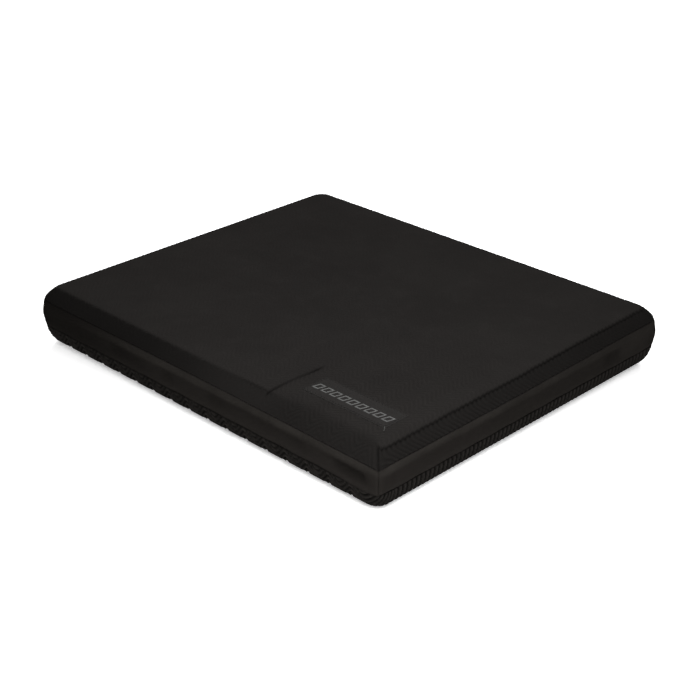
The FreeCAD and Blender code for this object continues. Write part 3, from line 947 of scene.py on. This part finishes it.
def band_section(point, normal):
    """The band's section at a point of the outline, from foot to top to inside.

    Each item is (inset, height, pressed); pressed is how deep the hollow is in that stretch, and the band's
    material paints shade in the pockets from it.
    """
    x, y = point.x, point.y
    rim = band_rim(point)
    foot = SEAM_LOW - 1.0 * MM + 0.25 * MM * math.sin(x * 143 + y * 171)
    if normal.y < -FACING:
        foot -= 1.6 * MM * between(x, 0.196, 0.226, 0.012)
    hollow = band_hollow(point, normal)
    at_corner = 1 - smooth_step(max(abs(normal.x), abs(normal.y)), 0.72, 1.0)
    bulge = BULGE * at_corner * smooth_step((point - NEAR_CORNER).length, 0.03, 0.06)
    low, high = foot + 4.2 * MM, rim - 6.0 * MM
    section = [(inset * MM - bulge * 0.4, foot + rise * MM, 0.0) for inset, rise in FOOT_PROFILE]
    for i in range(WALL_STEPS + 1):
        share = i / WALL_STEPS
        pressed = hollow * max(math.sin(math.pi * share ** 0.9), 0.0) ** 1.2
        swell = 0.4 * (1 - share) + 0.6 * math.sin(math.pi * share ** 0.8)
        inset = 0.35 * MM * (1 - share) + pressed - bulge * swell
        shaded = hollow * max(math.sin(math.pi * share), 0.0) ** 0.4
        section.append((inset, low + (high - low) * share, shaded))
    section += [(inset * MM, rim - fall * MM, 0.0) for inset, fall in LIP_PROFILE]
    section.append((BAND_WALL, foot + 0.3 * MM, 0.0))
    return section


def pointed_place(place, inset):
    """Draw the near corner of the band out towards a point; its inner wall stays round."""
    p = place.x - (HALF_X - CORNER)
    q = -place.y - (HALF_Y - CORNER)
    if p <= 0 or q <= 0:
        return place
    reach = math.hypot(p, q)
    square = (p / reach) ** POINT_POWER + (q / reach) ** POINT_POWER
    grow = (square ** (-1 / POINT_POWER) - 1) * max(1 - inset / (9 * MM), 0.0)
    return Vector((place.x + p * grow, place.y - q * grow, 0))


def make_side_band():
    """The strip round the middle, butt-joined at the near corner with a fine open seam."""
    work = bmesh.new()
    hollow = work.verts.layers.float.new("pressed")
    loops = []
    for i in range(BAND_STEPS + 1):
        along = SEAM_GAP + (OUTLINE - 2 * SEAM_GAP) * i / BAND_STEPS
        point, normal = rounded_point(along)
        near_end = min(along, OUTLINE - along)
        pinch = SEAM_PINCH * math.exp(-(near_end / SEAM_WIDTH) ** 2)
        loop = []
        for inset, height, pressed in band_section(point, normal):
            place = point - normal * (inset + (pinch if inset < 6 * MM else 0.0))
            place = pointed_place(place, inset)
            loop.append(work.verts.new((place.x, place.y, height)))
            loop[-1][hollow] = pressed / MM
        loops.append(loop)
    for here, there in zip(loops, loops[1:]):
        for j in range(len(here)):
            k = (j + 1) % len(here)
            work.faces.new((here[j], there[j], there[k], here[k]))
    work.faces.new(loops[0])
    work.faces.new(list(reversed(loops[-1])))
    bmesh.ops.recalc_face_normals(work, faces=work.faces)
    piece = piece_from(work, "side_band_smooth", make_smooth_foam())
    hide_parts("side_band")
    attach(piece, "root")


# ---------------------------------------------------------------- the label
LABEL_COLUMNS, LABEL_ROWS = 120, 40        # mesh steps along and across the patch
LABEL_ROUNDING = 2 * MM
EDGE_FALL, EDGE_WIDTH = 0.35 * MM, 0.5 * MM    # the patch's edges round down by this, this near the edge
PRINT_FILM = 0.12 * MM
THREAD_RADIUS = 0.35 * MM


def label_top(x, y):
    """Height of the label's face: it rides a little on the ribs beneath it."""
    rise = 0.05 * math.sin(y * FULL_TURN / RIB_PITCH) + 0.08 * math.sin(x * 60 + 1)
    return LABEL_HIGH.z + (rise - 0.35) * MM


def make_label():
    """A thin woven patch with softly rounded edges and corners."""
    middle = (LABEL_LOW + LABEL_HIGH) / 2
    half = (LABEL_HIGH - LABEL_LOW) / 2
    columns, rows, rounding = LABEL_COLUMNS, LABEL_ROWS, LABEL_ROUNDING
    work = bmesh.new()
    verts = {}
    for i in range(columns + 1):
        for j in range(rows + 1):
            x = (2 * i / columns - 1) * half.x
            y = (2 * j / rows - 1) * half.y
            p = max(abs(x) - (half.x - rounding), 0) / rounding
            q = max(abs(y) - (half.y - rounding), 0) / rounding
            x -= math.copysign((p - p * math.sqrt(1 - q * q / 2)) * rounding, x)
            y -= math.copysign((q - q * math.sqrt(1 - p * p / 2)) * rounding, y)
            edge = min(half.x - abs(x), half.y - abs(y))
            fall = EDGE_FALL * max(0.0, 1 - edge / EDGE_WIDTH) ** 2
            at = middle + Vector((x, y, 0))
            verts[i, j] = work.verts.new((at.x, at.y, label_top(at.x, at.y) - fall))
    for i in range(columns):
        for j in range(rows):
            work.faces.new((verts[i, j], verts[i + 1, j], verts[i + 1, j + 1], verts[i, j + 1]))
    rim = [edge for edge in work.edges if edge.is_boundary]
    made = bmesh.ops.extrude_edge_only(work, edges=rim)["geom"]
    rim = [item for item in made if isinstance(item, bmesh.types.BMEdge)]
    for vert in {v for edge in rim for v in edge.verts}:
        vert.co.z = LABEL_LOW.z - 0.15 * MM
    bmesh.ops.holes_fill(work, edges=rim)
    bmesh.ops.recalc_face_normals(work, faces=work.faces)
    bmesh.ops.triangulate(work, faces=[face for face in work.faces if len(face.verts) > 4])
    piece = piece_from(work, "label_patch", make_label_weave())
    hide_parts("label")
    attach(piece, "root")


def make_label_print():
    """A row of slanted frames, a thin film that follows the label's face."""
    low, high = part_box("label_print")
    frames, slant, pitch, stroke = 9, 2.5 * MM, 10.2 * MM, 1.5 * MM
    width = high.x - low.x - slant - (frames - 1) * pitch
    depth = high.y - low.y
    film, steps = PRINT_FILM, 6
    work = bmesh.new()
    for number in range(frames):
        rings = []
        for border, lift in ((0.0, film), (stroke, film), (stroke, -film), (0.0, -film)):
            left, right, front, back = border, width - border, border, depth - border
            corners = [(left, front), (right, front), (right, back), (left, back)]
            ring = []
            for (ax, ay), (bx, by) in zip(corners, corners[1:] + corners[:1]):
                for i in range(steps):
                    x = ax + (bx - ax) * i / steps
                    y = low.y + ay + (by - ay) * i / steps
                    x += low.x + number * pitch + slant * (y - low.y) / depth
                    ring.append(work.verts.new((x, y, label_top(x, y) + lift)))
            rings.append(ring)
        for inner, outer in zip(rings, rings[1:] + rings[:1]):
            for i in range(len(inner)):
                j = (i + 1) % len(inner)
                work.faces.new((inner[i], inner[j], outer[j], outer[i]))
    bmesh.ops.recalc_face_normals(work, faces=work.faces)
    piece = piece_from(work, "label_print_frames", make_label_ink())
    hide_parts("label_print")
    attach(piece, "root")


def stitch_tree(material):
    """Small rounded stitches spaced along a rectangle, each lying along its line."""
    words = ["Length", "Width", "Stitch length", "Stitch thickness", "Pitch", "Left", "Front", "Height"]
    group, tree, size = new_geometry_tree("label_stitches", words)
    line = tree.get(0, "GeometryNodeCurvePrimitiveQuadrilateral", {"mode": "RECTANGLE"}, {
        "Width": size["Length"], "Height": size["Width"],
    })
    spots = tree.add("GeometryNodeCurveToPoints", {"mode": "LENGTH"}, {
        "Curve": line, "Length": size["Pitch"],
    })
    bead = tree.get(0, "GeometryNodeMeshUVSphere", None, {"Segments": 8, "Rings": 6, "Radius": 0.5})
    shape = tree.join(size["Stitch thickness"], size["Stitch thickness"], size["Stitch length"])
    bead = tree.get(0, "GeometryNodeTransform", None, {"Geometry": bead, "Scale": shape})
    row = tree.get(0, "GeometryNodeInstanceOnPoints", None, {
        "Points": Field(tree, spots.outputs["Points"]), "Instance": bead,
        "Rotation": Field(tree, spots.outputs["Rotation"]),
    })
    place = tree.join(size["Left"], size["Front"], size["Height"])
    row = tree.get(0, "GeometryNodeTransform", None, {"Geometry": row, "Translation": place})
    end_geometry_tree(tree, row, material)
    return group


def make_stitching():
    """The row of stitches round the label."""
    low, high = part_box("label_stitching")
    middle = (low + high) / 2
    thread = make_thread("dark_thread", THREAD_DARK, THREAD_LIGHT)
    mesh = grown("label_stitches", stitch_tree(thread), {
        "Length": high.x - low.x - 0.5 * MM,
        "Width": high.y - low.y - 0.5 * MM,
        "Stitch length": 2.7 * MM,
        "Stitch thickness": 0.5 * MM,
        "Pitch": 3.5 * MM,
        "Left": middle.x,
        "Front": middle.y,
        "Height": LABEL_HIGH.z - 0.25 * MM,
    })
    piece = new_piece("label_stitches", mesh)
    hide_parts("label_stitching")
    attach(piece, "root")


def make_thread_end():
    """The loose end of the thread, out from the label's front right corner."""
    corner = Vector((LABEL_HIGH.x, LABEL_LOW.y, 0))
    route = [
        (-1.6, 1.6, LABEL_HIGH.z - 0.1 * MM), (-0.3, 0.2, LABEL_HIGH.z + 0.2 * MM),
        (1.0, -1.1, TOP + 0.5 * MM), (2.3, -2.6, TOP + 0.7 * MM), (3.0, -4.4, TOP + 0.3 * MM),
    ]
    curve = bpy.data.curves.new("label_thread_end", "CURVE")
    curve.dimensions = "3D"
    curve.bevel_depth = THREAD_RADIUS
    curve.bevel_resolution = 3
    curve.use_fill_caps = True
    line = curve.splines.new("NURBS")
    line.points.add(len(route) - 1)
    for point, (x, y, z) in zip(line.points, route):
        point.co = (corner.x + x * MM, corner.y + y * MM, z, 1)
    line.order_u = 3
    line.use_endpoint_u = True
    carrier = bpy.data.objects.new("label_thread_end_line", curve)
    bpy.context.scene.collection.objects.link(carrier)
    mesh = bpy.data.meshes.new_from_object(carrier.evaluated_get(bpy.context.evaluated_depsgraph_get()))
    bpy.data.objects.remove(carrier)
    mesh.materials.clear()
    mesh.materials.append(make_thread("frayed_thread", FRAYED_DARK, FRAYED_LIGHT))
    piece = new_piece("label_thread_end", mesh)
    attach(piece, "root")


def finish_cores():
    """The three plies stay as they are, in cut foam."""
    foam = make_core_foam()
    for node in ("upper_core", "middle_core", "lower_core"):
        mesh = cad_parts[node].data
        mesh.materials.clear()
        mesh.materials.append(foam)


make_camera()
make_surroundings()
make_bottom_skin()
make_top_skin()
make_side_band()
make_label()
make_label_print()
make_stitching()
make_thread_end()
finish_cores()
